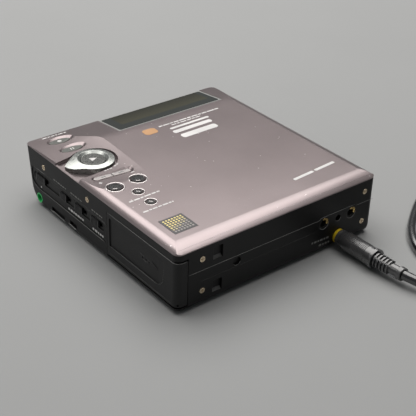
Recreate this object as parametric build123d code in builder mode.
from build123d import *
import os
from math import sqrt, sin, cos, tan, pi, radians, degrees

os.makedirs("parts", exist_ok=True)

# ---------------------------------------------------------------------------
# Portable minidisc recorder/player with its DC lead.
# X: user's right, Y: towards the rear (socket) face, Z: up, origin at the
# centre of the footprint, on the surface that the player stands on.
# ---------------------------------------------------------------------------

# Driving dimensions (mm)
W = 105.0            # case width, X
D = 112.0            # case depth, Y
TOP = 29.4           # flat of the top cover
BASE = 0.6           # underside of the case, on its feet
SEAM = 16.8          # parting line of the two plastic shells
COVER_Z = 27.0       # upper shell ends, metal cover begins
WALL = 1.6           # plastic wall
R_PLAN = 2.8         # rounding of the corners and of the bottom edges
R_BOT = 3.2          # rounding under the rear face
R_FRONT = 9.0        # rounding under the front face
LEAN = 3.5           # front face leans back by this at the base
GAP = 0.12           # shut line between two casings

CART = (72.0, 68.0, 5.0)          # disc cartridge
SPX, SPY = -10.0, -17.0           # spindle axis
CART_Z = 12.2                     # underside of a loaded cartridge

JOG = (38.0, -23.2)               # jog wheel axis
JOG_R = 9.2
PLAY_R = 5.35
KEY_TRAVEL = 0.6

DC_X, DC_Z = -32.6, 5.3           # power socket axis
PHONE_Y, PHONE_Z = -45.5, 4.3     # phones jack axis
JACK_Z = 14.3
JACK_XS = (-23.5, -39.2)
JACK_R = 1.8                      # bore of a 3.5 mm jack

HINGE_X, HINGE_Z = 51.3, 4.6      # battery door hinge axis, along Y
DOOR_Y0, DOOR_Z0, DOOR_Z1 = 9.0, 3.7, 23.7
SLOT_X0, SLOT_X1 = -47.5, 27.5    # disc slot in the front face
SLOT_Z0, SLOT_Z1 = 12.5, 20.7
FLAP_Z = 13.5    # disc door pivot
CORD_D = 4.2

CORE = []


def keep(builder, name):
    """Label a finished piece and write it."""
    builder.part.label = name
    export_step(builder.part, f"parts/{name}.step")
    CORE.append((name, builder.part.volume))


def block(x0, x1, y0, y1, z0, z1, mode=Mode.ADD):
    """A box between six limits, joined to the part being built."""
    with BuildSketch(Plane.XY.offset(z0)) as sk:
        with Locations(((x0 + x1) / 2, (y0 + y1) / 2)):
            Rectangle(x1 - x0, y1 - y0)
    extrude(sk.sketch, amount=z1 - z0, mode=mode)


def disc(x, y, r, z0, z1, mode=Mode.ADD):
    """An upright cylinder."""
    with BuildSketch(Plane.XY.offset(z0)) as sk:
        with Locations((x, y)):
            Circle(r)
    extrude(sk.sketch, amount=z1 - z0, mode=mode)


def rod_y(x, z, r, y0, y1, mode=Mode.ADD):
    """A cylinder along Y."""
    with BuildSketch(Plane(origin=(x, y0, z), x_dir=(1, 0, 0), z_dir=(0, 1, 0))) as sk:
        Circle(r)
    extrude(sk.sketch, amount=y1 - y0, mode=mode)


def rod_x(y, z, r, x0, x1, mode=Mode.ADD):
    """A cylinder along X."""
    with BuildSketch(Plane(origin=(x0, y, z), x_dir=(0, 1, 0), z_dir=(1, 0, 0))) as sk:
        Circle(r)
    extrude(sk.sketch, amount=x1 - x0, mode=mode)


def front_y(z, inset=0.0):
    """Y of the leaning front face at a height."""
    return -D / 2 + LEAN * (COVER_Z - z) / (COVER_Z - BASE) + inset


def shell_volume(inset):
    """The case outline up to the metal cover, drawn in by inset."""
    z0 = BASE + inset
    with BuildSketch(Plane.YZ.offset(-W / 2 + inset)) as side:
        with BuildLine():
            Polyline(
                (D / 2 - inset, z0),
                (D / 2 - inset, COVER_Z),
                (front_y(COVER_Z, inset), COVER_Z),
                (front_y(z0, inset), z0),
                close=True,
            )
        make_face()
        low = side.vertices().group_by(Axis.Y)[0].sort_by(Axis.X)
        fillet(low[0], R_FRONT - inset)
        low = side.vertices().group_by(Axis.Y)[0].sort_by(Axis.X)
        fillet(low[-1], R_BOT - inset * 0.5)
    body = extrude(side.sketch, amount=W - 2 * inset)
    ends = body.faces().filter_by(Axis.X)
    rim = [e for e in ends.edges() if e.center().Z < COVER_Z - 0.01]
    fillet(rim, R_PLAN - inset * 0.8)


# ---------------------------------------------------------------------------
# Construction volumes
# ---------------------------------------------------------------------------
with BuildPart() as case_outer:
    shell_volume(0.0)

with BuildPart() as case_inner:
    shell_volume(WALL)


def casing_openings():
    """Everything that both plastic shells give way to."""
    # battery door: side opening that runs round the rear corner
    block(46.5, 54, DOOR_Y0 - 0.15, D / 2 - WALL, DOOR_Z0 - 0.8, DOOR_Z1 + 0.15, Mode.SUBTRACT)
    block(47.05, 54, D / 2 - WALL - 0.1, D / 2 + 1, DOOR_Z0 - 0.8, DOOR_Z1 + 0.75, Mode.SUBTRACT)
    # side switch panel
    with BuildSketch(Plane.YZ.offset(48)) as panel:
        with BuildLine():
            Polyline((-51.1, 11.6), (-46.0, 8.8), (7.7, 8.6), (7.7, 17.5), (-46.5, 18.9), (-51.1, 18.2), close=True)
        make_face()
    extrude(panel.sketch, amount=8, mode=Mode.SUBTRACT)
    # disc slot in the front face
    block(SLOT_X0, SLOT_X1, -60, -50, SLOT_Z0, SLOT_Z1, Mode.SUBTRACT)
    # sockets in the rear face
    for jx in JACK_XS:
        rod_y(jx, JACK_Z, 2.7, 50, 60, Mode.SUBTRACT)
    rod_y(-31.6, JACK_Z, 1.5, 50, 60, Mode.SUBTRACT)
    rod_y(DC_X, DC_Z, 3.4, 50, 60, Mode.SUBTRACT)
    rod_y(23.3, JACK_Z, 2.0, D / 2 - 1.0, 60, Mode.SUBTRACT)
    # phones socket
    rod_x(PHONE_Y, PHONE_Z, 2.4, 48, 56, Mode.SUBTRACT)
    # latch pockets in the rear face
    block(30.6, 35.3, D / 2 - 1.1, 60, 19.5, 25.2, Mode.SUBTRACT)
    block(30.6, 35.3, D / 2 - 1.1, 60, 4.4, 9.8, Mode.SUBTRACT)
    # screw seats
    for sx, sz in REAR_SCREWS:
        rod_y(sx, sz, 0.75, 50, 60, Mode.SUBTRACT)
        rod_y(sx, sz, 1.4, D / 2 - 0.6, 60, Mode.SUBTRACT)
    for sy, sz in SIDE_SCREWS:
        rod_x(sy, sz, 0.75, 48, 56, Mode.SUBTRACT)
        rod_x(sy, sz, 1.4, W / 2 - 0.6, 56, Mode.SUBTRACT)
    # strap slots low on the right side
    block(W / 2 - 1.0, 54, -35.0, -24.5, 2.6, 5.0, Mode.SUBTRACT)
    block(W / 2 - 1.0, 54, -20.0, -14.7, 3.4, 5.4, Mode.SUBTRACT)
    # disc door pin
    rod_x(front_y(FLAP_Z, 0.8), FLAP_Z, 0.52, SLOT_X0 - 1.6, SLOT_X1 + 1.6, Mode.SUBTRACT)


REAR_SCREWS = ((40.4, 21.9), (40.2, 7.4), (-46.4, 22.1), (-46.5, 7.5))
SIDE_SCREWS = ((-40.6, 21.7), (-5.6, 22.4))
BOTTOM_SCREWS = ((-44.0, -38.0), (-44.0, 36.0), (24.0, -38.0), (24.0, 46.0))
FEET = ((-42.0, -46.0 + 4), (40.0, -42.0), (-42.0, 46.0), (40.0, 46.0))
SEAM_UP = 17.6       # the seam steps up over the rear jacks

# ---------------------------------------------------------------------------
# Casings
# ---------------------------------------------------------------------------
with BuildPart() as bottom_cover:
    add(case_outer.part)
    add(case_inner.part, mode=Mode.SUBTRACT)
    # keep everything under the seam, with the step over the jacks
    with BuildSketch(Plane.XZ.offset(-D)):
        with BuildLine():
            Polyline((-60, SEAM), (-42, SEAM), (-41, SEAM_UP), (-21.5, SEAM_UP), (-20.5, SEAM), (60, SEAM), (60, 40), (-60, 40), close=True)
        make_face()
    extrude(amount=D, mode=Mode.SUBTRACT)
    block(-60, 60, -60, 0.0, SEAM, 40, Mode.SUBTRACT)
    casing_openings()
    # posts for the long screws, and the rail that the door carriage slides on
    for px, py in BOTTOM_SCREWS:
        disc(px, py, 2.6, BASE + WALL - 0.1, 6.4)
        disc(px, py, 0.8, BASE - 0.1, 6.5, Mode.SUBTRACT)
        disc(px, py, 2.1, BASE - 0.1, BASE + 0.9, Mode.SUBTRACT)
    block(44.6, 48.8, 11.0, 52.4, BASE + WALL - 0.1, 3.3)
    # hollow under the phones socket
    rod_x(PHONE_Y, PHONE_Z, 2.6, 37.8, W / 2 - WALL, Mode.SUBTRACT)
keep(bottom_cover, "bottom_cover")

with BuildPart() as side_frame:
    add(case_outer.part)
    add(case_inner.part, mode=Mode.SUBTRACT)
    with BuildSketch(Plane.XZ.offset(-D)):
        with BuildLine():
            Polyline((-60, SEAM + GAP), (-42.1, SEAM + GAP), (-41.1, SEAM_UP + GAP), (-21.4, SEAM_UP + GAP), (-20.4, SEAM + GAP), (60, SEAM + GAP), (60, -5), (-60, -5), close=True)
        make_face()
    extrude(amount=D, mode=Mode.SUBTRACT)
    block(-60, 60, -60, 0.0, -5, SEAM + GAP, Mode.SUBTRACT)
    casing_openings()
    # the front wall is lower under the display
    block(-44.6, 14.6, -60, -50, 25.0 - GAP, 30, Mode.SUBTRACT)
    # and thinner beside the dial
    block(50.3, 51.75, -30.9, -11.5, 26.0, 28, Mode.SUBTRACT)
    # flange that carries the cover and the keys
    block(22.5, 49.5, -54.9, -52.0, 22.6, 23.4)
keep(side_frame, "side_frame")


PAST = 0.25          # the shoulder's arc runs on this far past the side, which trims it


def shoulder(x_flat, x_edge, z_flat, z_edge):
    """Middle and end of the arc that is tangent to the flat at x_flat and passes the side at z_edge."""
    dx, dz = abs(x_edge - x_flat), z_flat - z_edge
    r = (dx * dx + dz * dz) / (2 * dz)
    s = 1 if x_edge > x_flat else -1
    out = []
    for run in ((dx + PAST) / 2, dx + PAST):
        out.append((x_flat + s * run, z_flat - r + sqrt(r * r - run * run)))
    return out


SKIRT = 27.5   # the cover's rounded shoulder ends here
BEND_Y = -35.0                         # the flat of the cover bends down to the front here
SLOPE_Y, SLOPE_Z = -41.976, 28.993     # the bend ends and the straight front slope begins
SLOPE = 0.1172                         # fall of the front slope


def front_slope(y):
    return SLOPE_Z + SLOPE * (y - SLOPE_Y)


FACET_Y0, FACET_Y1 = -38.3, -56.0      # display facet, near and far edge
FACET_Z0, FACET_Z1 = 29.3, 27.25
FACET_X0, FACET_X1 = -44.4, 14.4
facet_mid = ((FACET_X0 + FACET_X1) / 2, (FACET_Y0 + FACET_Y1) / 2, (FACET_Z0 + FACET_Z1) / 2)
FACET = Plane(origin=facet_mid, x_dir=(1, 0, 0), z_dir=(0, -(FACET_Z0 - FACET_Z1), FACET_Y0 - FACET_Y1))
FACET_LEN = sqrt((FACET_Y0 - FACET_Y1) ** 2 + (FACET_Z0 - FACET_Z1) ** 2)

STOP_AT, PAUSE_AT = (39.4, -48.6), (39.0, -38.6)
ROCK_AT, ROCK_TURN = (38.6, -7.75), -5.1
VOL_UP_AT, VOL_DOWN_AT = (44.1, 2.7), (32.6, 2.3)
MODE_AT, DISPLAY_AT = (38.6, 11.1), (39.0, 20.5)
RECESS_Z, RECESS_X = 26.7, 51.4        # floor of the dial's recess and its outer limit
DIAL_FALL = 0.22                       # fall of the dial's top outwards
TAB = ((41.0, -31.0), (44.6, -29.8), (49.3, -26.6), (50.7, -25.6), (50.4, -23.2), (49.1, -20.6), (44.9, -17.2))
BADGE_AT, BADGE = (40.0, 39.9), 11.0
VALLEY = 1.15        # depth of the shallow valley that holds the keys


def valley_section(y, xc, depth):
    """One cross section of the tool that sinks the key strip."""
    with BuildSketch(Plane(origin=(0, y, 0), x_dir=(1, 0, 0), z_dir=(0, -1, 0))) as section:
        with BuildLine():
            Spline(
                (xc, TOP + 0.02),
                (xc + 8, TOP + 0.02 - 0.62 * depth),
                (xc + 17, TOP + 0.02 - depth),
                (60, TOP + 0.02 - 1.12 * depth),
            )
            Polyline((60, TOP + 0.02 - 1.12 * depth), (60, TOP + 4), (xc, TOP + 4), (xc, TOP + 0.02))
        make_face()
    return section.sketch


with BuildPart() as valley_tool:
    loft([
        valley_section(-62, 22.8, 2.35).face(),
        valley_section(-40, 23.6, 1.25).face(),
        valley_section(-18, 24.6, 0.85).face(),
        valley_section(1.0, 25.6, 0.03).face(),
    ])

with BuildPart() as top_cover:
    with BuildSketch(Plane.YZ):
        with BuildLine():
            rear_mid, rear_end = shoulder(49.0, D / 2, TOP, SKIRT)
            front_end = (-D / 2 - PAST, front_slope(-D / 2 - PAST))
            Polyline((49.0, TOP), (BEND_Y, TOP))
            ThreePointArc((BEND_Y, TOP), (BEND_Y - 3.496, TOP - 0.102), (SLOPE_Y, SLOPE_Z))
            Polyline((SLOPE_Y, SLOPE_Z), front_end, (front_end[0], COVER_Z + GAP), (rear_end[0], COVER_Z + GAP), rear_end)
            ThreePointArc(rear_end, rear_mid, (49.0, TOP))
        make_face()
    extrude(amount=W / 2 + 3, both=True)
    with BuildSketch(Plane.XZ.offset(-D)):
        with BuildLine():
            left_mid, left_end = shoulder(-48.2, -W / 2, TOP, SKIRT)
            right_mid, right_end = shoulder(48.2, W / 2, TOP, SKIRT)
            Polyline((48.2, TOP), (-48.2, TOP))
            ThreePointArc((-48.2, TOP), left_mid, left_end)
            Polyline(left_end, (left_end[0], COVER_Z + GAP - 1), (right_end[0], COVER_Z + GAP - 1), right_end)
            ThreePointArc(right_end, right_mid, (48.2, TOP))
        make_face()
    extrude(amount=2 * D, mode=Mode.INTERSECT)
    with BuildSketch(Plane.XY):
        RectangleRounded(W, D, R_PLAN)
    extrude(amount=40, mode=Mode.INTERSECT)
    # hollow from below, thinner over the mechanism than under the keys
    block(-50.6, 22.0, -37.9, 54.2, COVER_Z, 28.4, Mode.SUBTRACT)
    block(22.0, 50.6, 30.0, 54.2, COVER_Z, 28.4, Mode.SUBTRACT)
    # seat of the display
    block(FACET_X0 - 0.15, FACET_X1 + 0.15, -58, FACET_Y0 + 0.15, COVER_Z - 1, TOP + 1, Mode.SUBTRACT)
    add(valley_tool.part, mode=Mode.SUBTRACT)
    # wheel recess: round, opening through the right edge, on its own floor
    block(26.4, 50.6, -34.6, -10.8, 26.15, COVER_Z + GAP + 0.1)
    block(50.4, RECESS_X + 0.25, -30.8, -11.6, 26.15, COVER_Z + GAP + 0.1)
    with BuildSketch(Plane.XY.offset(27.45)) as recess:
        with Locations(JOG):
            Circle(10.6)
        with BuildLine():
            Polyline((35.5, -33.4), (54.0, -30.2), (54.0, -11.8), (39.2, -12.7), close=True)
        make_face()
    extrude(amount=5, mode=Mode.SUBTRACT)
    with BuildSketch(Plane.XY.offset(RECESS_Z)) as deep:
        with Locations(JOG):
            Circle(10.6)
        with BuildLine():
            Polyline((35.5, -33.4), (RECESS_X, -30.2), (RECESS_X, -12.0), (39.2, -12.7), close=True)
        make_face()
    extrude(amount=2, mode=Mode.SUBTRACT)
    disc(*JOG, 6.62, 26.0, 28, Mode.SUBTRACT)
    # thicker under the front key
    block(31.0, 48.0, -52.4, -44.8, 26.15, COVER_Z + GAP + 0.1)
    # keys: openings with sloping wells
    for (bx, by), zt in ((STOP_AT, 27.78), (PAUSE_AT, 28.2)):
        with BuildSketch(Plane.XY.offset(20)):
            with Locations((bx, by)):
                Ellipse(5.25, 2.15)
        extrude(amount=12, mode=Mode.SUBTRACT)
        with BuildSketch(Plane.XY.offset(zt - 0.72)):
            with Locations((bx, by)):
                Ellipse(5.3, 2.2)
        with BuildSketch(Plane.XY.offset(zt + 0.6)):
            with Locations((bx, by - 0.15)):
                Ellipse(7.1, 4.1)
        loft(mode=Mode.SUBTRACT)
    with BuildSketch(Plane.XY.offset(20)):
        with Locations(Location((ROCK_AT[0], ROCK_AT[1], 0), (0, 0, ROCK_TURN))):
            SlotOverall(17.4, 2.8)
    extrude(amount=12, mode=Mode.SUBTRACT)
    with BuildSketch(Plane.XY.offset(28.25)):
        with Locations(Location((ROCK_AT[0], ROCK_AT[1], 0), (0, 0, ROCK_TURN))):
            SlotOverall(17.5, 2.9)
    with BuildSketch(Plane.XY.offset(29.45)):
        with Locations(Location((ROCK_AT[0], ROCK_AT[1], 0), (0, 0, ROCK_TURN))):
            SlotOverall(20.3, 5.7)
    loft(mode=Mode.SUBTRACT)
    for bx, by in (VOL_UP_AT, VOL_DOWN_AT):
        disc(bx, by, 2.85, 20, 32, Mode.SUBTRACT)
        with BuildSketch(Plane.XY.offset(TOP - 0.7)):
            with Locations((bx, by)):
                Circle(2.9)
        with BuildSketch(Plane.XY.offset(TOP + 0.05)):
            with Locations((bx, by)):
                Circle(3.7)
        loft(mode=Mode.SUBTRACT)
    for bx, by in (MODE_AT, DISPLAY_AT):
        disc(bx, by, 1.75, 20, 32, Mode.SUBTRACT)
        with BuildSketch(Plane.XY.offset(TOP - 0.6)):
            with Locations((bx, by)):
                Circle(1.8)
        with BuildSketch(Plane.XY.offset(TOP + 0.05)):
            with Locations((bx, by)):
                Circle(2.45)
        loft(mode=Mode.SUBTRACT)
    # seat of the badge
    block(BADGE_AT[0] - BADGE / 2 - 0.1, BADGE_AT[0] + BADGE / 2 + 0.1, BADGE_AT[1] - BADGE / 2 - 0.1, BADGE_AT[1] + BADGE / 2 + 0.1, TOP - 0.3, TOP + 1, Mode.SUBTRACT)
keep(top_cover, "top_cover")

with BuildPart() as badge_plate:
    block(BADGE_AT[0] - BADGE / 2, BADGE_AT[0] + BADGE / 2, BADGE_AT[1] - BADGE / 2, BADGE_AT[1] + BADGE / 2, TOP - 0.3, TOP + 0.05)
    fillet(badge_plate.edges().filter_by(Axis.Z), 0.6)
keep(badge_plate, "badge_plate")

# display: sloping bezel, window and liquid crystal cell
WIN_X, WIN_Y = 57.0, 16.3
LCD_AT, LCD_X, LCD_Y = (-0.5, -1.1), 50.6, 11.6
with BuildPart() as display_bezel:
    with BuildSketch(Plane.YZ):
        with BuildLine():
            Polyline((FACET_Y0, 25.0), (FACET_Y0, FACET_Z0), (FACET_Y1 + 0.3, FACET_Z1), (FACET_Y1, FACET_Z1 - 0.4), (FACET_Y1 + 0.1, 25.0), close=True)
        make_face()
    extrude(amount=60, both=True)
    block(FACET_X0, FACET_X1, -60, 0, 20, 35, Mode.INTERSECT)
    with BuildSketch(FACET.offset(-0.35)):
        RectangleRounded(WIN_X, WIN_Y, 1.1)
    extrude(amount=3, mode=Mode.SUBTRACT)
    with BuildSketch(FACET.offset(-8)):
        with Locations(LCD_AT):
            Rectangle(LCD_X, LCD_Y)
    extrude(amount=12, mode=Mode.SUBTRACT)
keep(display_bezel, "display_bezel")

with BuildPart() as display_window:
    with BuildSketch(FACET.offset(-0.35)):
        RectangleRounded(WIN_X - 0.2, WIN_Y - 0.2, 1.0)
    extrude(amount=0.33)
keep(display_window, "display_window")

with BuildPart() as lcd_cell:
    with BuildSketch(FACET.offset(-2.3)):
        with Locations(LCD_AT):
            Rectangle(LCD_X - 0.4, LCD_Y - 0.4)
    extrude(amount=1.85)
keep(lcd_cell, "lcd_cell")

with BuildPart() as side_switch_panel:
    with BuildSketch(Plane.YZ.offset(W / 2 - 1.5)):
        with BuildLine():
            Polyline((-51.0, 11.8), (-46.0, 9.0), (7.5, 8.8), (7.5, 17.3), (-46.5, 18.7), (-51.0, 18.0), close=True)
        make_face()
    extrude(amount=1.25)
    fillet(side_switch_panel.edges().filter_by(Axis.X).group_by(Axis.Y)[0], 1.4)
    with BuildSketch(Plane.YZ.offset(W / 2 - 0.62)):
        with Locations((-21.3, 14.8)):
            SlotOverall(56.6, 4.0)
    extrude(amount=2, mode=Mode.SUBTRACT)
    with BuildSketch(Plane.YZ.offset(45)):
        with Locations((-41.5, 14.8)):
            Rectangle(6.6, 1.6)
        with Locations((-22.75, 14.8)):
            Rectangle(6.1, 1.6)
        with Locations((-10.5, 14.8)):
            Rectangle(6.6, 1.6)
        with Locations((1.75, 14.8)):
            Rectangle(6.1, 1.6)
    extrude(amount=12, mode=Mode.SUBTRACT)
keep(side_switch_panel, "side_switch_panel")


def slide_knob(yc, length, ribs):
    """A ribbed slide knob with its shank through the panel."""
    with BuildSketch(Plane.YZ.offset(W / 2 - 0.5)) as cap:
        with Locations((yc, 14.8)):
            RectangleRounded(length, 3.2, 0.5)
    extrude(cap.sketch, amount=0.95)
    with BuildSketch(Plane.YZ.offset(48.7)) as shank:
        with Locations((yc, 14.8)):
            Rectangle(2.0, 1.3)
    extrude(shank.sketch, amount=W / 2 - 0.4 - 48.7)
    with BuildSketch(Plane.YZ.offset(W / 2 + 0.1)) as grooves:
        with Locations(*[(yc + (i - (ribs - 1) / 2) * 1.0, 14.8) for i in range(ribs)]):
            Rectangle(0.45, 4)
    extrude(grooves.sketch, amount=1, mode=Mode.SUBTRACT)


with BuildPart() as sync_switch:
    slide_knob(-43.5, 7.6, 6)
keep(sync_switch, "sync_switch")
with BuildPart() as limiter_switch:
    slide_knob(-24.5, 5.0, 4)
keep(limiter_switch, "limiter_switch")
with BuildPart() as hold_switch:
    slide_knob(-12.5, 6.0, 5)
keep(hold_switch, "hold_switch")
with BuildPart() as open_switch:
    slide_knob(0.0, 6.0, 5)
keep(open_switch, "open_switch")

with BuildPart() as side_switch_board:
    block(46.6, 47.4, -49.0, 7.0, 9.6, 17.4)
    for yc, ln in ((-41.5, 9), (-22.75, 8), (-10.5, 8.6), (1.75, 8)):
        block(47.4, 48.5, yc - ln / 2, yc + ln / 2, 12.6, 17.0)
keep(side_switch_board, "side_switch_board")

# ---------------------------------------------------------------------------
# Keys of the top strip
# ---------------------------------------------------------------------------
KEY_FLANGE = 26.1     # retaining flange of every key, under the cover


with BuildPart() as stop_button:
    with BuildSketch(Plane.XY.offset(25.2)):
        with Locations(STOP_AT):
            Ellipse(5.1, 2.0)
    extrude(amount=27.35 - 25.2)
    with BuildSketch(Plane.XY.offset(25.2)):
        with Locations(STOP_AT):
            Ellipse(5.7, 2.6)
    extrude(amount=0.8)
keep(stop_button, "stop_button")

with BuildPart() as pause_button:
    with BuildSketch(Plane.XY.offset(25.2)):
        with Locations(PAUSE_AT):
            Ellipse(5.1, 2.0)
    extrude(amount=27.8 - 25.2)
    with BuildSketch(Plane.XY.offset(25.2)):
        with Locations(PAUSE_AT):
            Ellipse(5.7, 2.6)
    extrude(amount=0.8)
keep(pause_button, "pause_button")


def rocker_half(sign):
    """One half of the track-search bar."""
    with BuildSketch(Plane.XY.offset(25.2)) as cap:
        with Locations(Location((ROCK_AT[0], ROCK_AT[1], 0), (0, 0, ROCK_TURN))):
            SlotOverall(17.0, 2.4)
            with Locations((-sign * 25.0 + sign * 0.2, 0)):
                Rectangle(50, 10, mode=Mode.SUBTRACT)
    extrude(cap.sketch, amount=28.75 - 25.2)
    with BuildSketch(Plane.XY.offset(25.2)) as foot:
        with Locations(Location((ROCK_AT[0], ROCK_AT[1], 0), (0, 0, ROCK_TURN))):
            with Locations((sign * 4.6, 0)):
                Rectangle(7.6, 3.6)
    extrude(foot.sketch, amount=0.8)


with BuildPart() as skip_back_button:
    rocker_half(1)
keep(skip_back_button, "skip_back_button")
with BuildPart() as skip_forward_button:
    rocker_half(-1)
keep(skip_forward_button, "skip_forward_button")


def round_key(at, r, top, dish):
    disc(at[0], at[1], r, 25.2, top)
    disc(at[0], at[1], r + 0.6, 25.2, 26.0)
    if dish:
        disc(at[0], at[1], r - 0.5, top - 0.12, top + 1, Mode.SUBTRACT)


with BuildPart() as volume_up_button:
    round_key(VOL_UP_AT, 2.7, TOP + 0.25, True)
keep(volume_up_button, "volume_up_button")
with BuildPart() as volume_down_button:
    round_key(VOL_DOWN_AT, 2.7, TOP + 0.25, True)
keep(volume_down_button, "volume_down_button")
with BuildPart() as mode_button:
    round_key(MODE_AT, 1.6, TOP + 0.15, False)
keep(mode_button, "mode_button")
with BuildPart() as display_button:
    round_key(DISPLAY_AT, 1.6, TOP + 0.15, False)
keep(display_button, "display_button")

with BuildPart() as jog_wheel:
    # round disc with a finger tab that reaches to the right edge
    with BuildSketch(Plane.XY.offset(RECESS_Z + 0.15)) as outline:
        with Locations(JOG):
            Circle(JOG_R)
        with BuildLine():
            Polyline(*TAB, close=True)
        make_face()
        fillet([v for v in outline.vertices() if v.X > 49.0], 0.6)
    extrude(outline.sketch, amount=29.75 - RECESS_Z - 0.15)
    # the top falls away outwards like a flat cone
    with Locations((JOG[0], JOG[1], 26.0)):
        Cone(6.9 + (29.75 - 26.0) / DIAL_FALL, 6.9, 29.75 - 26.0, align=(Align.CENTER, Align.CENTER, Align.MIN), mode=Mode.INTERSECT)
    # finger grooves down the visible side of the tab
    with BuildSketch(Plane.XY.offset(26)) as grip:
        with Locations((50.75, -23.9), (50.45, -22.3), (49.7, -20.9), (48.5, -19.6)):
            Circle(0.45)
    extrude(grip.sketch, amount=2.1, mode=Mode.SUBTRACT)
    disc(*JOG, 6.55, 25.2, 27.8)
    # snap flange under the floor of the recess
    disc(*JOG, 7.2, 25.2, 25.9)
    disc(*JOG, PLAY_R + 0.2, 25, 31, Mode.SUBTRACT)
    # sloping wall down to the play key
    with BuildSketch(Plane.XY.offset(28.85)) as dish_low:
        with Locations(JOG):
            Circle(5.6)
    with BuildSketch(Plane.XY.offset(29.8)) as dish_high:
        with Locations(JOG):
            Circle(6.75)
    loft([dish_low.sketch.face(), dish_high.sketch.face()], mode=Mode.SUBTRACT)
keep(jog_wheel, "jog_wheel")

with BuildPart() as play_button:
    disc(*JOG, PLAY_R, 25.6, 29.15)
    fillet(play_button.edges().group_by(Axis.Z)[-1], 0.35)
keep(play_button, "play_button")

with BuildPart() as key_board:
    block(23.2, 49.0, -52.0, 28.0, 23.6, 24.3)
    # press switches under the keys
    for kx, ky in (STOP_AT, PAUSE_AT, (42.6, -8.1), (34.6, -7.4), VOL_UP_AT, VOL_DOWN_AT, MODE_AT, DISPLAY_AT):
        block(kx - 1.4, kx + 1.4, ky - 1.4, ky + 1.4, 24.2, 24.4)
    block(JOG[0] - 2, JOG[0] + 2, JOG[1] - 2, JOG[1] + 2, 24.2, 24.9)
keep(key_board, "key_board")

# ---------------------------------------------------------------------------
# Battery compartment
# ---------------------------------------------------------------------------
with BuildPart() as battery_box:
    block(29.3, 50.4, 9.4, 53.9, 2.3, 23.3)
    block(30.6, 51, 10.8, 52.6, 1.0, 22.7, Mode.SUBTRACT)
    block(30.0, 44.4, 10.4, 53.0, 2.3, 3.2)
    block(29.0, 51.0, 52.7, 54.0, 2.0, 3.3, Mode.SUBTRACT)
    block(49.6, 51.0, 9.0, 11.0, 2.0, 2.8, Mode.SUBTRACT)
    # the door's ends pass here as it opens
    block(49.9, 51.0, 9.0, 11.0, 2.0, 7.2, Mode.SUBTRACT)
    block(49.9, 51.0, 52.3, 54.0, 2.0, 7.2, Mode.SUBTRACT)
keep(battery_box, "battery_box")

with BuildPart() as battery_pack:
    block(31.4, 50.2, 12.6, 52.0, 6.3, 22.3)
    fillet(battery_pack.edges().filter_by(Axis.Y), 1.2)
keep(battery_pack, "battery_pack")

with BuildPart() as battery_contacts:
    for zc in (10.5, 14.3, 18.1):
        block(36.0, 44.0, 10.85, 11.15, zc - 1.1, zc + 1.1)
        block(38.5, 41.5, 11.15, 12.55, zc - 0.9, zc + 0.9)
keep(battery_contacts, "battery_contacts")

KNUCKLES = ((14.0, 18.0), (26.0, 32.0), (40.0, 44.0))    # door's
EARS = ((18.2, 21.0), (32.2, 35.0), (44.2, 47.0))        # carriage's
with BuildPart() as battery_door:
    add(case_outer.part)
    add(case_inner.part, mode=Mode.SUBTRACT)
    block(-60, 60, -60, DOOR_Y0, -5, 60, Mode.SUBTRACT)
    block(-60, 47.35, -60, 60, -5, 60, Mode.SUBTRACT)
    block(40, 60, -60, 60, -5, DOOR_Z0, Mode.SUBTRACT)
    block(40, 60, -60, 60, DOOR_Z1, 60, Mode.SUBTRACT)
    # scooped thumb panel
    with BuildSketch(Plane.YZ.offset(W / 2 - 0.45)):
        with BuildLine():
            Polyline((10.6, 8.4), (43.5, 8.4), (47.5, 12.0), (47.5, 21.6), (10.6, 21.6), close=True)
        make_face()
    extrude(amount=2, mode=Mode.SUBTRACT)
    # raised dots of the slide mark
    with BuildSketch(Plane.YZ.offset(W / 2 - 0.5)):
        with Locations((33.0, 15.0), (35.2, 15.0), (37.4, 15.0)):
            Circle(0.55)
        with BuildLine():
            Polyline((39.5, 13.4), (43.5, 15.0), (39.5, 16.6), close=True)
        make_face()
    extrude(amount=0.3)
    for y0, y1 in KNUCKLES:
        rod_y(HINGE_X, HINGE_Z, 1.1, y0, y1)
    with BuildSketch(Plane.XZ) as trim:
        with BuildLine():
            Polyline((HINGE_X + 0.5, 3.0), (53.5, 3.0), (53.5, 4.4), close=True)
        make_face()
    extrude(amount=60, both=True, mode=Mode.SUBTRACT)
    rod_y(HINGE_X, HINGE_Z, 0.45, 8, 58, Mode.SUBTRACT)
    for y0, y1 in EARS:
        block(50.0, 52.05, y0 - 0.2, y1 + 0.2, 3.0, 5.9, Mode.SUBTRACT)
keep(battery_door, "battery_door")

with BuildPart() as door_carriage:
    block(44.8, 49.8, 13.0, 48.0, 3.4, 5.8)
    for y0, y1 in EARS:
        block(49.0, HINGE_X, y0, y1, HINGE_Z - 0.66, HINGE_Z + 0.66)
        rod_y(HINGE_X, HINGE_Z, 0.66, y0, y1)
        rod_y(HINGE_X, HINGE_Z, 0.41, y0 - 1, y1 + 1, Mode.SUBTRACT)
keep(door_carriage, "door_carriage")

with BuildPart() as door_hinge_pin:
    rod_y(HINGE_X, HINGE_Z, 0.4, 13.5, 47.4)
keep(door_hinge_pin, "door_hinge_pin")

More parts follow.
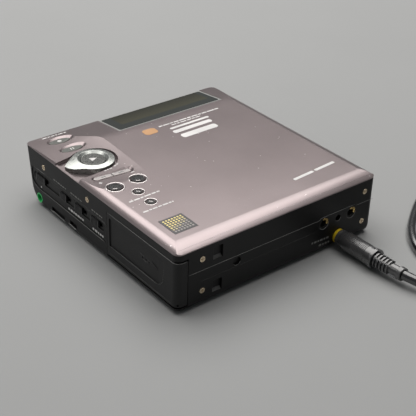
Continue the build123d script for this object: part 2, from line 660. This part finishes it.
# ---------------------------------------------------------------------------
# Disc door
# ---------------------------------------------------------------------------
FLAP_Y = front_y(FLAP_Z, 0.8)
with BuildPart() as disc_door:
    with BuildSketch(Plane.YZ.offset(SLOT_X0 + 0.2)):
        with BuildLine():
            Polyline(
                (front_y(FLAP_Z), FLAP_Z),
                (front_y(SLOT_Z1 - 0.2), SLOT_Z1 - 0.2),
                (front_y(SLOT_Z1 - 0.2, 1.5), SLOT_Z1 - 0.2),
                (front_y(FLAP_Z, 1.5), FLAP_Z),
                close=True,
            )
        make_face()
        with Locations((FLAP_Y, FLAP_Z)):
            Circle(0.78)
    extrude(amount=SLOT_X1 - SLOT_X0 - 0.4)
    rod_x(FLAP_Y, FLAP_Z, 0.55, SLOT_X0 - 1, SLOT_X1 + 1, Mode.SUBTRACT)
keep(disc_door, "disc_door")

with BuildPart() as disc_door_pin:
    rod_x(FLAP_Y, FLAP_Z, 0.5, SLOT_X0 - 1.4, SLOT_X1 + 1.4)
keep(disc_door_pin, "disc_door_pin")

# ---------------------------------------------------------------------------
# Disc mechanism
# ---------------------------------------------------------------------------
PIVOT_Y, PIVOT_Z = 20.0, 16.0
HOLD_X0, HOLD_X1 = SPX - 36.6, SPX + 36.6
ROD_XS, ROD_Z = (-22.0, 2.0), 9.4
SCREW_X = 8.0
with BuildPart() as chassis:
    block(-49.0, 28.8, -46.0, 50.0, 6.5, 7.3)
    # openings: spindle motor, pickup, jacks, power socket, sled motor
    disc(SPX, SPY, 3.4, 6, 8, Mode.SUBTRACT)
    block(-26.0, 5.6, -5.6, 26.4, 6, 8, Mode.SUBTRACT)
    block(-15.5, -4.5, 26.0, 36.0, 6, 8, Mode.SUBTRACT)
    block(5.2, 12.0, 28.6, 42.4, 6, 8, Mode.SUBTRACT)
    block(-46.0, -18.0, 38.0, 51.0, 6, 8, Mode.SUBTRACT)
    for px, py in BOTTOM_SCREWS:
        disc(px, py, 0.85, 6, 8, Mode.SUBTRACT)
    # ears for the holder's pivots
    block(-49.0, -48.4, 16.0, 24.0, 7.2, 18.0)
    block(28.2, 28.8, 16.0, 24.0, 7.2, 18.0)
    rod_x(PIVOT_Y, PIVOT_Z, 1.0, -49.0, -46.2)
    rod_x(PIVOT_Y, PIVOT_Z, 1.0, 26.2, 28.8)
    # posts for the guide rods and the lead screw
    for px in (*ROD_XS, SCREW_X):
        block(px - 1.9, px + 1.9, -8.4, -5.8, 7.2, 11.6)
        block(px - 1.9, px + 1.9, 26.6, 28.4, 7.2, 11.6)
    for px in ROD_XS:
        rod_y(px, ROD_Z, 1.0, -9, 30, Mode.SUBTRACT)
    rod_y(SCREW_X, ROD_Z, 1.0, -9, 30, Mode.SUBTRACT)
keep(chassis, "chassis")

with BuildPart() as disc_holder:
    block(HOLD_X0, HOLD_X1, -51.0, 17.6, CART_Z - 0.5, 18.0)
    block(HOLD_X0 + 0.5, HOLD_X1 - 0.5, -52.0, 17.1, CART_Z - 0.1, 17.5, Mode.SUBTRACT)
    block(HOLD_X0 + 9.0, HOLD_X1 - 9.0, -52.0, 18.0, CART_Z - 1.0, CART_Z, Mode.SUBTRACT)
    # window for the recording head, open at the rear
    block(SPX - 5.0, SPX + 5.0, -8.0, 18.5, CART_Z, 19.0, Mode.SUBTRACT)
    # stamped ribs
    with BuildSketch(Plane.XY.offset(17.4)):
        with Locations((-33.0, -20.0), (13.0, -20.0)):
            SlotOverall(46.0, 3.0, rotation=90)
    extrude(amount=1.0)
    # ears with the pivot holes
    for x0, x1 in ((HOLD_X0, HOLD_X0 + 0.6), (HOLD_X1 - 0.6, HOLD_X1)):
        block(x0, x1, 16.0, 22.6, 13.4, 18.0)
        rod_x(PIVOT_Y, PIVOT_Z, 1.05, x0 - 1, x1 + 1, Mode.SUBTRACT)
keep(disc_holder, "disc_holder")

with BuildPart() as spindle_motor:
    disc(SPX, SPY, 9.0, 4.5, 6.45)
    disc(SPX, SPY, 3.2, 6.4, 8.8)
    disc(SPX, SPY, 0.8, 4, 9, Mode.SUBTRACT)
keep(spindle_motor, "spindle_motor")

with BuildPart() as turntable:
    disc(SPX, SPY, 8.0, 9.6, 10.8)
    disc(SPX, SPY, 4.0, 9.2, 11.9)
    with BuildSketch(Plane.XY.offset(10.3)):
        with Locations((SPX, SPY)):
            Circle(7.2)
            Circle(4.8, mode=Mode.SUBTRACT)
    extrude(amount=1, mode=Mode.SUBTRACT)
    # shaft pressed into its hub
    disc(SPX, SPY, 0.75, 4.7, 12.05)
keep(turntable, "turntable")

with BuildPart() as guide_rods:
    for px in ROD_XS:
        rod_y(px, ROD_Z, 1.0, -8.4, 28.4)
keep(guide_rods, "guide_rods")

LENS_Y = 0.5
with BuildPart() as optical_sled:
    block(-24.4, 10.4, -4.6, 8.0, 7.7, 11.1)
    block(-24.4, 10.4, 3.0, 8.1, 10.3, 12, Mode.SUBTRACT)
    for px in ROD_XS:
        rod_y(px, ROD_Z, 1.05, -9, 12, Mode.SUBTRACT)
    rod_y(SCREW_X, ROD_Z, 1.3, -9, 12, Mode.SUBTRACT)
    disc(SPX, LENS_Y, 2.9, 8.4, 13, Mode.SUBTRACT)
    # tail and riser that carry the recording head round the cartridge
    block(SPX - 3.6, SPX + 3.6, 7.9, 20.4, 7.7, 9.2)
    block(SPX - 3.6, SPX + 3.6, 18.6, 20.4, 7.7, 17.6)
    block(SPX - 3.6, SPX - 2.6, 18.4, 20.6, 17.5, 19.9)
    block(SPX + 2.6, SPX + 3.6, 18.4, 20.6, 17.5, 19.9)
    rod_x(19.5, 18.9, 0.5, SPX - 5, SPX + 5, Mode.SUBTRACT)
keep(optical_sled, "optical_sled")

with BuildPart() as lens_holder:
    disc(SPX, LENS_Y, 2.6, 8.9, 11.3)
    disc(SPX, LENS_Y, 1.6, 11.2, 11.7)
    chamfer(lens_holder.edges().group_by(Axis.Z)[-1], 0.35)
    disc(SPX, LENS_Y, 1.6, 8, 10.6, Mode.SUBTRACT)
keep(lens_holder, "lens_holder")

with BuildPart() as head_arm:
    block(SPX - 1.8, SPX + 1.8, -1.6, 19.5, 18.6, 19.2)
    block(SPX - 2.4, SPX + 2.4, 17.0, 19.5, 18.6, 19.2)
    rod_x(19.5, 18.9, 0.95, SPX - 2.4, SPX + 2.4)
    # trunnions in the riser's ears, and the head under the arm's tip
    rod_x(19.5, 18.9, 0.45, SPX - 3.5, SPX + 3.5)
    block(SPX - 1.7, SPX + 1.7, -1.4, 2.4, 18.1, 18.7)
keep(head_arm, "head_arm")

with BuildPart() as lead_screw:
    rod_y(SCREW_X, ROD_Z, 1.2, -5.6, 26.4)
    rod_y(SCREW_X, ROD_Z, 0.95, -8.2, 30.0)
    for i in range(15):
        with BuildSketch(Plane(origin=(SCREW_X, -4.8 + i * 2.0, ROD_Z), x_dir=(1, 0, 0), z_dir=(0, 1, 0))):
            Circle(1.4)
            Circle(1.0, mode=Mode.SUBTRACT)
        extrude(amount=0.6, mode=Mode.SUBTRACT)
keep(lead_screw, "lead_screw")

with BuildPart() as sled_motor:
    rod_y(SCREW_X, ROD_Z, 3.2, 28.8, 41.8)
    rod_y(SCREW_X, ROD_Z, 1.0, 28, 30.5, Mode.SUBTRACT)
keep(sled_motor, "sled_motor")

# ---------------------------------------------------------------------------
# Electronics and sockets
# ---------------------------------------------------------------------------
with BuildPart() as main_board:
    block(-48.4, 28.6, -42.0, 52.6, 2.9, 3.7)
    # soldered components
    for cx, cy, cw, cd, ch in (
        (-33, -28, 14, 14, 1.4), (-36, -4, 10, 12, 1.2), (12, -30, 12, 12, 1.4), (14, -8, 16, 9, 1.2),
        (-34, 16, 9, 14, 1.3), (16, 18, 12, 12, 1.4), (-14, 40, 10, 8, 1.2), (8, 46, 8, 6, 2.0),
        (-44, 30, 5, 5, 2.0), (24, 4, 5, 5, 2.2), (-12, 8, 9, 6, 1.2), (0, -36, 6, 4, 1.6),
    ):
        block(cx - cw / 2, cx + cw / 2, cy - cd / 2, cy + cd / 2, 3.6, 3.7 + ch)
    block(-38.4, -26.8, 42.6, 53.0, 2, 5, Mode.SUBTRACT)
    for px, py in BOTTOM_SCREWS:
        disc(px, py, 2.8, 2, 5, Mode.SUBTRACT)
keep(main_board, "main_board")

with BuildPart() as dc_socket:
    block(DC_X - 4.4, DC_X + 4.4, 43.6, D / 2 - WALL - 0.05, 2.4, 9.2)
    chamfer(dc_socket.edges().filter_by(Axis.X).group_by(Axis.Y)[-1].sort_by(Axis.Z)[0], 1.9)
    rod_y(DC_X, DC_Z, 3.35, D / 2 - WALL - 0.2, D / 2 - 0.15)
    rod_y(DC_X, DC_Z, 2.6, 45.6, 58, Mode.SUBTRACT)
    rod_y(DC_X, DC_Z, 0.7, 45.0, 53.5)
keep(dc_socket, "dc_socket")


with BuildPart() as rear_jacks:
    for jx in JACK_XS:
        block(jx - 4.0, jx + 4.0, 41.4, D / 2 - WALL - 0.05, JACK_Z - 4.0, JACK_Z + 3.4)
        rod_y(jx, JACK_Z, 2.65, D / 2 - WALL - 0.2, D / 2 - 0.3)
        rod_y(jx, JACK_Z, JACK_R, 42.4, 58, Mode.SUBTRACT)
        # room for the spring contacts
        block(jx - 1.2, jx + 1.2, 43.0, 52.4, JACK_Z + 1.0, JACK_Z + 2.9, Mode.SUBTRACT)
keep(rear_jacks, "rear_jacks")

with BuildPart() as jack_contacts:
    for jx in JACK_XS:
        block(jx - 0.9, jx + 0.9, 44.0, 52.2, JACK_Z + 2.3, JACK_Z + 2.7)
        block(jx - 0.9, jx + 0.9, 44.0, 44.4, JACK_Z + 1.9, JACK_Z + 2.7)
keep(jack_contacts, "jack_contacts")

with BuildPart() as phones_jack:
    rod_x(PHONE_Y, PHONE_Z, 2.5, 38.0, W / 2 - WALL - 0.05)
    block(38.0, W / 2 - WALL - 0.05, PHONE_Y - 2.5, PHONE_Y + 2.5, PHONE_Z, 7.8)
    rod_x(PHONE_Y, PHONE_Z, JACK_R, 40.0, 56, Mode.SUBTRACT)
keep(phones_jack, "phones_jack")

with BuildPart() as phones_ring:
    rod_x(PHONE_Y, PHONE_Z, 2.35, W / 2 - WALL, W / 2 + 0.1)
    rod_x(PHONE_Y, PHONE_Z, JACK_R, 48, 56, Mode.SUBTRACT)
keep(phones_ring, "phones_ring")

# ---------------------------------------------------------------------------
# Fasteners and feet
# ---------------------------------------------------------------------------
with BuildPart() as case_screws:
    for sx, sz in REAR_SCREWS:
        rod_y(sx, sz, 1.25, D / 2 - 0.6, D / 2 + 0.05)
        rod_y(sx, sz, 0.7, D / 2 - 1.9, D / 2 - 0.5)
        block(sx - 0.9, sx + 0.9, D / 2 - 0.25, D / 2 + 1, sz - 0.15, sz + 0.15, Mode.SUBTRACT)
        block(sx - 0.15, sx + 0.15, D / 2 - 0.25, D / 2 + 1, sz - 0.9, sz + 0.9, Mode.SUBTRACT)
    for sy, sz in SIDE_SCREWS:
        rod_x(sy, sz, 1.25, W / 2 - 0.6, W / 2 + 0.05)
        rod_x(sy, sz, 0.7, W / 2 - 1.9, W / 2 - 0.5)
        block(W / 2 - 0.25, W / 2 + 1, sy - 0.9, sy + 0.9, sz - 0.15, sz + 0.15, Mode.SUBTRACT)
        block(W / 2 - 0.25, W / 2 + 1, sy - 0.15, sy + 0.15, sz - 0.9, sz + 0.9, Mode.SUBTRACT)
keep(case_screws, "case_screws")

with BuildPart() as bottom_screws:
    for px, py in BOTTOM_SCREWS:
        disc(px, py, 1.9, BASE + 0.1, BASE + 0.9)
        disc(px, py, 0.78, BASE + 0.8, 8.2)
keep(bottom_screws, "bottom_screws")

with BuildPart() as rubber_feet:
    for fx, fy in FEET:
        disc(fx, fy, 3.6, 0.0, BASE)
    chamfer(rubber_feet.edges().group_by(Axis.Z)[0], 0.25)
keep(rubber_feet, "rubber_feet")

# ---------------------------------------------------------------------------
# Power lead: plug, strain relief, cord, coil and adapter
# ---------------------------------------------------------------------------
with BuildPart() as plug_barrel:
    rod_y(DC_X, DC_Z, 2.0, 46.4, 57.0)
    rod_y(DC_X, DC_Z, 0.9, 46, 54.6, Mode.SUBTRACT)
keep(plug_barrel, "plug_barrel")

with BuildPart() as plug_ring:
    rod_y(DC_X, DC_Z, 3.2, D / 2 + 0.1, 57.5)
    rod_y(DC_X, DC_Z, 2.0, 55, 58, Mode.SUBTRACT)
keep(plug_ring, "plug_ring")

PLUG_END = 78.6
with BuildPart() as dc_plug:
    with BuildSketch(Plane(origin=(DC_X, 0, DC_Z), x_dir=(0, 1, 0), z_dir=(-1, 0, 0))):
        with BuildLine():
            Polyline(
                (57.5, 0), (57.5, 3.5), (60.6, 3.6), (61.2, 4.1), (PLUG_END - 1.6, 4.15),
                (PLUG_END - 1.4, 4.45), (PLUG_END, 4.35), (PLUG_END, 0), close=True,
            )
        make_face()
    revolve(axis=Axis((DC_X, 0, DC_Z), (0, 1, 0)))
    rod_y(DC_X, DC_Z, 2.0, 57.0, 57.5, Mode.SUBTRACT)
keep(dc_plug, "dc_plug")

RELIEF_END = (DC_X - 1.1, 92.4, DC_Z - 0.3)
with BuildPart() as strain_relief:
    with BuildSketch(Plane(origin=(DC_X, PLUG_END, DC_Z), x_dir=(1, 0, 0), z_dir=(0, 1, 0))):
        Circle(3.5)
    with BuildSketch(Plane(origin=RELIEF_END, x_dir=(1, 0, 0), z_dir=(0, 1, 0))):
        Circle(2.9)
    loft()
keep(strain_relief, "strain_relief")

# The lead leaves the relief, makes one wide loop on the table and runs into a
# neat coil; its tail comes off the top of the coil to the adapter.
EDGE_O = (-39.0, 94.7)
UX, UY = -0.746, -0.666
VX, VY = -0.666, 0.746


def on_table(u, v, z=CORD_D / 2):
    return (EDGE_O[0] + u * UX + v * VX, EDGE_O[1] + u * UY + v * VY, z)


COIL_U, COIL_V, COIL_RM = 30.0, 44.0, 23.0
ROUTE = [
    RELIEF_END,
    (-35.5, 100.4, 4.4),
    on_table(-9.5, 15.5, 2.6),
    on_table(-12.5, 31.0),
    on_table(-7.5, 49.5),
    on_table(3.0, 66.0),
    on_table(18.5, 78.0),
    on_table(40.0, 85.0),
    on_table(64.0, 87.5),
    on_table(89.0, 85.0),
    on_table(109.0, 75.0),
    on_table(119.5, 56.5),
    on_table(117.0, 35.5),
    on_table(103.5, 19.0),
    on_table(86.0, 8.5),
    on_table(68.0, 2.5),
    on_table(50.5, -0.8),
    on_table(33.5, -1.9),
    on_table(17.0, 3.2),
    on_table(6.0, 15.8),
    on_table(2.2, 31.5),
]


def corner_radii(points):
    """0.45 of the shorter run, over the tangent of half the turn."""
    out = []
    for a, b, c in zip(points, points[1:], points[2:]):
        va, vb = Vector(*b) - Vector(*a), Vector(*c) - Vector(*b)
        turn = va.get_angle(vb)
        out.append((0.45 * min(va.length, vb.length) / tan(radians(turn / 2)), turn, va.length))
    return out


def cord_tube(points, name):
    info = corner_radii(points)
    print(name, "radii / turns / runs:", [(round(r, 1), round(t, 1), round(l, 1)) for r, t, l in info])
    with BuildPart() as tube:
        with BuildLine() as path:
            FilletPolyline(*points, radius=[r for r, _, _ in info])
        start = path.wires()[0]
        with BuildSketch(Plane(origin=start @ 0, z_dir=start % 0)) as section:
            Circle(CORD_D / 2)
        sweep(section.sketch, path=start)
    print(name, "volume", tube.part.volume, "section x length", pi * CORD_D ** 2 / 4 * start.length, "length", start.length)
    keep(tube, name)
    return start.length


lead_len = cord_tube(ROUTE, "dc_cord")

COIL_AT = on_table(COIL_U, COIL_V, 0)
COIL_W, COIL_H = 3 * CORD_D, 3 * CORD_D
with BuildPart() as cord_coil:
    disc(COIL_AT[0], COIL_AT[1], COIL_RM + COIL_W / 2, 0.0, COIL_H)
    disc(COIL_AT[0], COIL_AT[1], COIL_RM - COIL_W / 2, -1, COIL_H + 1, Mode.SUBTRACT)
    fillet(cord_coil.edges().filter_by(GeomType.CIRCLE), 1.8)
keep(cord_coil, "cord_coil")

TAIL_V = COIL_V + COIL_RM - CORD_D
TAIL = [
    on_table(COIL_U + 2, TAIL_V, COIL_H + 1.6),
    on_table(COIL_U + 14, TAIL_V - 0.4, COIL_H + 2.2),
    on_table(COIL_U + 25, TAIL_V - 0.2, COIL_H + 1.4),
    on_table(62.0, TAIL_V, 13.0),
]
tail_len = cord_tube(TAIL, "dc_cord_tail")

AD_L, AD_W, AD_H = 32.0, 30.0, 26.0
AD_U0 = 68.0
AD_PLANE = Plane(origin=on_table(AD_U0, TAIL_V, 0), x_dir=(UX, UY, 0), z_dir=(0, 0, 1))
with BuildPart() as wall_adapter:
    with BuildSketch(AD_PLANE):
        with Locations((AD_L / 2, 0)):
            RectangleRounded(AD_L, AD_W, 4)
    extrude(amount=AD_H)
    fillet(wall_adapter.edges().group_by(Axis.Z)[-1], 2.0)
    fillet(wall_adapter.edges().group_by(Axis.Z)[0], 1.0)
    with BuildSketch(Plane(origin=on_table(62.0, TAIL_V, 13.0), x_dir=(VX, VY, 0), z_dir=(UX, UY, 0))):
        Circle(2.9)
    with BuildSketch(Plane(origin=on_table(68.0, TAIL_V, 13.0), x_dir=(VX, VY, 0), z_dir=(UX, UY, 0))):
        Circle(3.6)
    loft()
keep(wall_adapter, "wall_adapter")

with BuildPart() as adapter_blades:
    with BuildSketch(Plane(origin=on_table(AD_U0 + AD_L, TAIL_V, 13.0), x_dir=(VX, VY, 0), z_dir=(UX, UY, 0))):
        with Locations((-6.35, 0), (6.35, 0)):
            Rectangle(1.5, 6.3)
    extrude(amount=14.0)
keep(adapter_blades, "adapter_blades")

print("pieces", len(CORE), "free lead", round(lead_len, 1), "tail", round(tail_len, 1))
